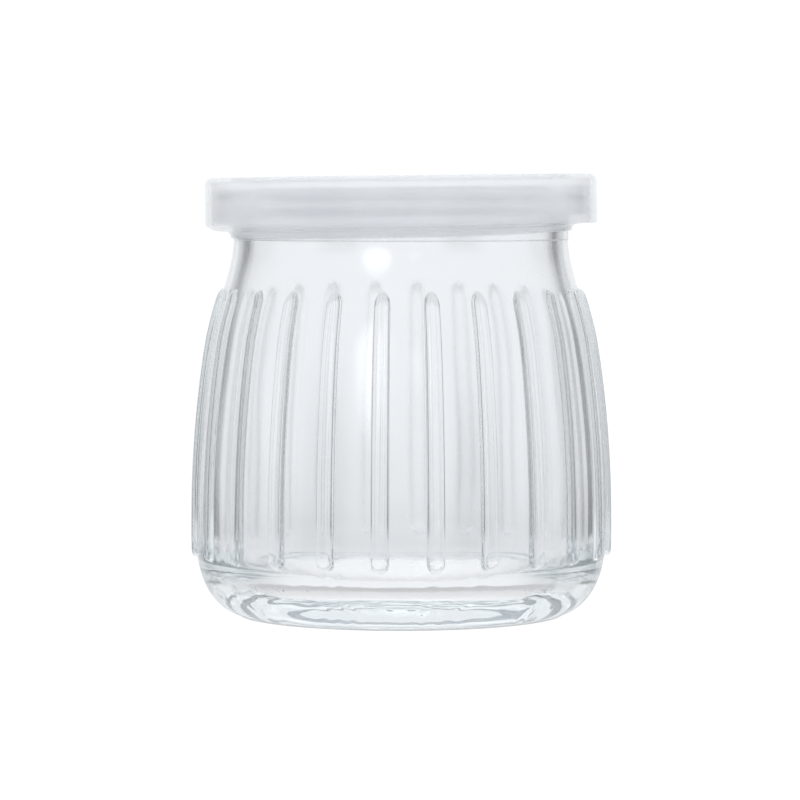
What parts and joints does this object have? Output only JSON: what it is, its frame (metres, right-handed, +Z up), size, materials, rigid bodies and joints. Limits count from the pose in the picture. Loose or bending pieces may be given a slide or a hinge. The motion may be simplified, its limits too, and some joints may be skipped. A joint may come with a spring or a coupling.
{
  "type": "ribbed glass pudding jar with snap lid",
  "caption": "Squat empty glass jar with round ribs down a barrel-shaped body, a plain neck and a translucent plastic snap lid; stands on its foot ring and holds a small set dessert.",
  "frame": {"origin": "on the floor plane, at the centre of the jar's foot ring", "axes": "+Z up the jar's axis; the picture looks along +Y with +X to its right"},
  "size_m": [0.0676, 0.0676, 0.071],
  "materials": {
    "clear_glass": "clear moulded glass, smooth and slightly wavy",
    "milky_plastic": "translucent milky plastic, soft satin"
  },
  "bodies": {
    "root": {"glass_jar": "clear_glass", "plastic_lid": "milky_plastic"}
  },
  "joints": []
}
